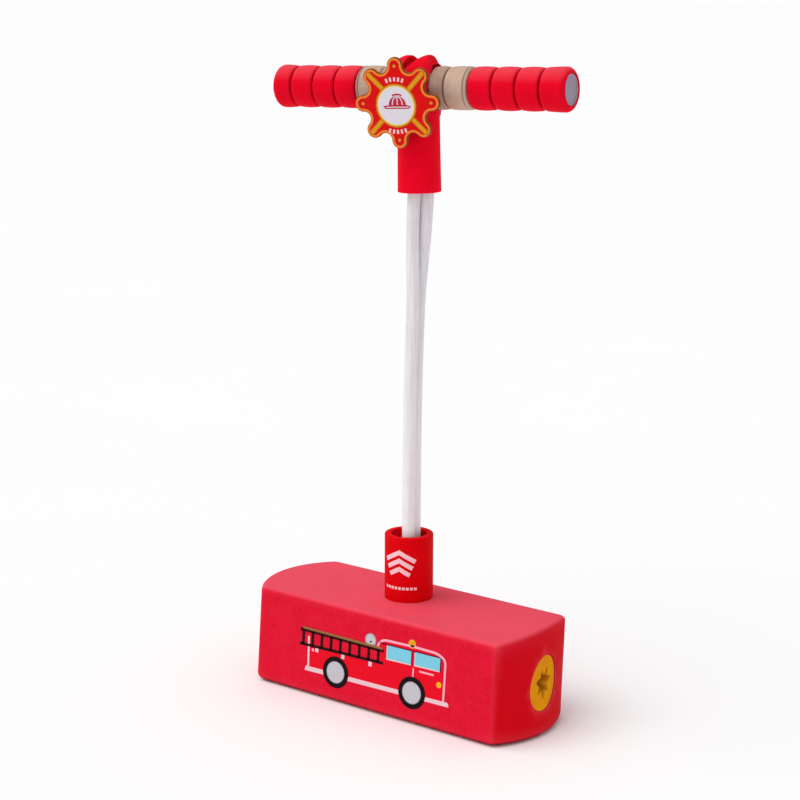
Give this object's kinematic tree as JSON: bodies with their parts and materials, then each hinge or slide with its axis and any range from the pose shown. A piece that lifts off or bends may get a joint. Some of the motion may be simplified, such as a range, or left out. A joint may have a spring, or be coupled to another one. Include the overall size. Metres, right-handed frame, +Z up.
{
  "type": "foam pogo jumper",
  "caption": "Child's foam pogo jumper: a foam block to stand on, an elastic cord loop rising from a foam collar, and a foam-ringed T handle with a lobed badge.",
  "frame": {"origin": "middle of the block's underside, on the floor", "axes": "+Z up along the cord, +X along the block's length, -Y out of the printed front face"},
  "size_m": [0.2772, 0.096, 0.5295],
  "materials": {
    "red_foam": "matte closed-cell foam skin",
    "badge_print": "printed foam board",
    "tan_foam": "matte closed-cell foam",
    "yellow_foam": "matte foam",
    "yellow_vinyl": "soft moulded",
    "elastic_cord": "smooth milky elastic tube",
    "grey_plastic": "smooth moulded",
    "white_plastic": "moulded",
    "dark_plastic": "moulded",
    "plated_steel": "plated"
  },
  "bodies": {
    "base": {"base_block": "red_foam", "base_collar": "red_foam", "vent_plug_left": "yellow_foam", "vent_plug_right": "yellow_foam", "squeaker_bulb_left": "yellow_vinyl", "squeaker_bulb_right": "yellow_vinyl", "squeaker_reed_left": "dark_plastic", "squeaker_reed_right": "dark_plastic", "anchor_plate": "white_plastic", "anchor_rod": "plated_steel", "bottom_cap": "dark_plastic", "cord_loop_lower": "elastic_cord"},
    "cord_lean": {"cord_front_1": "elastic_cord", "cord_rear_1": "elastic_cord"},
    "cord_sway": {"cord_front_2": "elastic_cord", "cord_rear_2": "elastic_cord"},
    "cord_stretch": {"cord_front_3": "elastic_cord", "cord_rear_3": "elastic_cord"},
    "cord_twist": {"cord_front_4": "elastic_cord", "cord_rear_4": "elastic_cord"},
    "cord_rock": {"cord_front_5": "elastic_cord", "cord_rear_5": "elastic_cord"},
    "handle": {"handle_bar": "white_plastic", "stem_sleeve": "red_foam", "sleeve_flap_left": "red_foam", "sleeve_flap_right": "red_foam", "badge_plate": "badge_print", "badge_spacer": "red_foam", "end_cap_left": "grey_plastic", "end_cap_right": "grey_plastic", "cord_loop_upper": "elastic_cord", "grip_ring_left_1": "red_foam", "grip_ring_left_2": "red_foam", "grip_ring_left_3": "red_foam", "grip_ring_left_4": "red_foam", "grip_ring_right_1": "red_foam", "grip_ring_right_2": "red_foam", "grip_ring_right_3": "red_foam", "grip_ring_right_4": "red_foam", "spacer_ring_left_1": "tan_foam", "spacer_ring_left_2": "tan_foam", "spacer_ring_right_1": "tan_foam", "spacer_ring_right_2": "tan_foam"}
  },
  "joints": [
    {"name": "lean_fore_aft", "type": "hinge", "parent": "base", "child": "cord_lean", "pos_m": [0.00172, 0, 0.152], "axis": [1, 0, 0], "range_deg": [-30, 30], "stiffness_Nm_per_rad": 1.2},
    {"name": "sway_sideways", "type": "hinge", "parent": "cord_lean", "child": "cord_sway", "pos_m": [0.00178, 0, 0.176], "axis": [0, 1, 0], "range_deg": [-30, 30], "stiffness_Nm_per_rad": 1.2},
    {"name": "cord_pull", "type": "slide", "parent": "cord_sway", "child": "cord_stretch", "axis": [0.0283, 0, 0.9996], "range_m": [0, 0.2], "stiffness_N_per_m": 250, "deforming": ["cord_front_3", "cord_rear_3"]},
    {"name": "handle_twist", "type": "hinge", "parent": "cord_stretch", "child": "cord_twist", "pos_m": [0.00568, 0, 0.3447], "axis": [0.0283, 0, 0.9996], "range_deg": [-90, 90], "stiffness_Nm_per_rad": 0.1},
    {"name": "handle_rock", "type": "hinge", "parent": "cord_twist", "child": "cord_rock", "pos_m": [0.00787, 0, 0.3887], "axis": [-0.1392, 0.9903, 0], "range_deg": [-20, 20], "stiffness_Nm_per_rad": 0.6},
    {"name": "handle_pitch", "type": "hinge", "parent": "cord_rock", "child": "handle", "pos_m": [0.00895, 0, 0.4087], "axis": [0.9903, 0.1392, 0], "range_deg": [-25, 25], "stiffness_Nm_per_rad": 0.6}
  ]
}
